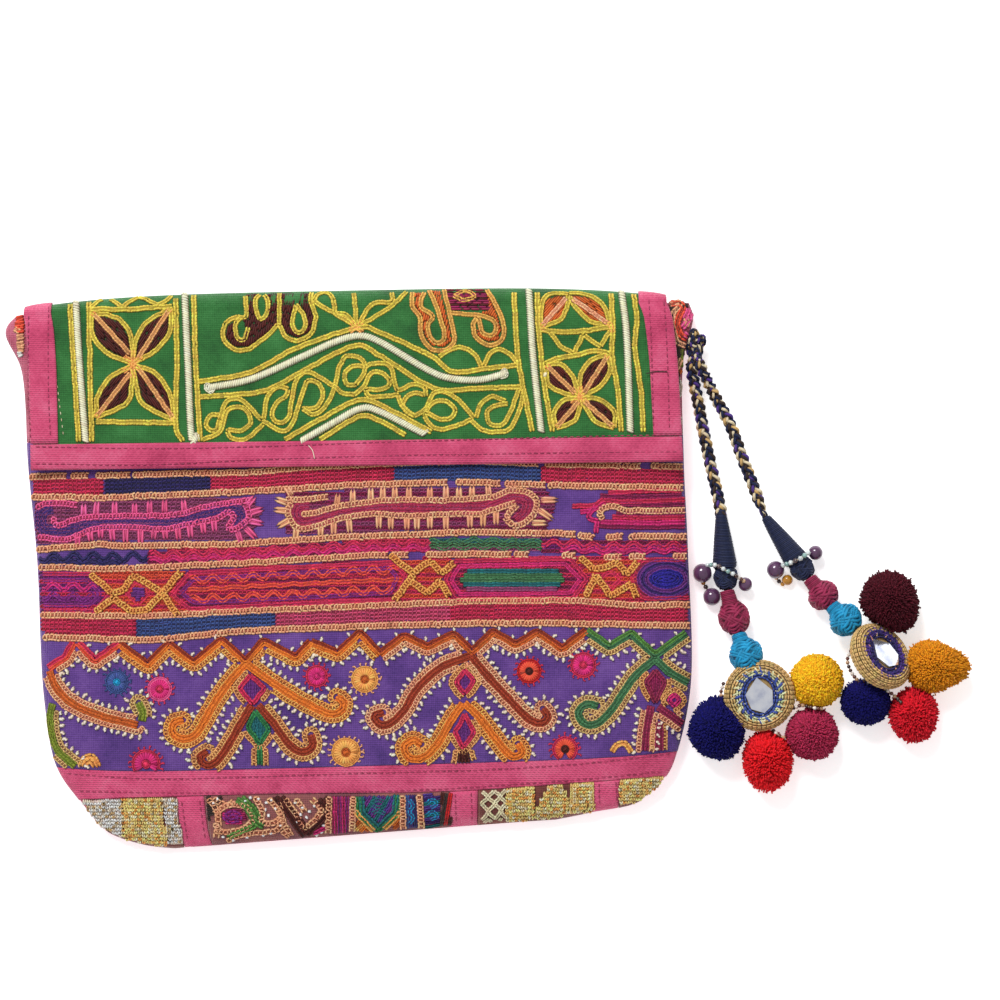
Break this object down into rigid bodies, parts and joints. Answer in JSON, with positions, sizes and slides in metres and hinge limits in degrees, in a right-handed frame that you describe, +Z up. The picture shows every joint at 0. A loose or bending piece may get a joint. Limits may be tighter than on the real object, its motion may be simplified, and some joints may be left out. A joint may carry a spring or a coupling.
{
  "type": "envelope clutch",
  "caption": "Flat envelope clutch with an embroidered fold-over flap, bound edges, a patchwork foot, and braided cord tassels that carry beads, pompoms and mirror medallions.",
  "frame": {"origin": "on the surface that the bag lies on, under the middle of the bag's own box, tassels left out", "axes": "+X across the bag towards its tassels, +Y from the foot to the fold of the flap, +Z up out of the embroidered front"},
  "size_m": [0.4161, 0.2415, 0.0276],
  "materials": {
    "pink_cotton": "matt twill",
    "green_cloth": "matt, embroidered",
    "purple_cloth": "matt, embroidered",
    "madder_cloth": "matt, embroidered",
    "silver_brocade": "metallic weave",
    "stitched_cloth": "embroidered all over",
    "gold_brocade": "metallic weave",
    "braid": "braided cotton",
    "navy_thread": "wound thread",
    "bead_stone": "polished",
    "rose_thread": "knotted thread",
    "sky_thread": "knotted thread",
    "straw_crochet": "crocheted thread",
    "mirror_glass": "polished",
    "navy_yarn": "cut yarn",
    "red_yarn": "cut yarn",
    "plum_yarn": "cut yarn",
    "yellow_yarn": "cut yarn",
    "maroon_yarn": "cut yarn",
    "ochre_yarn": "cut yarn"
  },
  "bodies": {
    "root": {"pouch": "pink_cotton", "upper_patch": "madder_cloth", "front_patch": "purple_cloth", "sash": "pink_cotton", "base_patch_silver": "silver_brocade", "base_strip_left": "pink_cotton", "base_patch_stitched": "stitched_cloth", "base_strip_middle": "pink_cotton", "base_patch_gold": "gold_brocade", "base_strip_right": "pink_cotton", "base_patch_corner": "gold_brocade", "flap": "green_cloth", "flap_binding_left": "pink_cotton", "flap_binding_right": "pink_cotton", "flap_binding_hem": "pink_cotton", "cord_knot": "braid", "near_cord": "braid", "near_cone": "navy_thread", "near_rose_knot": "rose_thread", "near_sky_knot": "sky_thread", "near_bead_left": "bead_stone", "near_bead_low": "bead_stone", "near_bead_right": "bead_stone", "near_medallion": "straw_crochet", "near_mirror": "mirror_glass", "near_pompom_navy": "navy_yarn", "near_pompom_red": "red_yarn", "near_pompom_plum": "plum_yarn", "near_pompom_yellow": "yellow_yarn", "far_cord": "braid", "far_cone": "navy_thread", "far_rose_knot": "rose_thread", "far_sky_knot": "sky_thread", "far_bead_left": "bead_stone", "far_bead_low": "bead_stone", "far_bead_right": "bead_stone", "far_medallion": "straw_crochet", "far_mirror": "mirror_glass", "far_pompom_maroon": "maroon_yarn", "far_pompom_ochre": "ochre_yarn", "far_pompom_navy": "navy_yarn", "far_pompom_red": "red_yarn"}
  },
  "joints": []
}
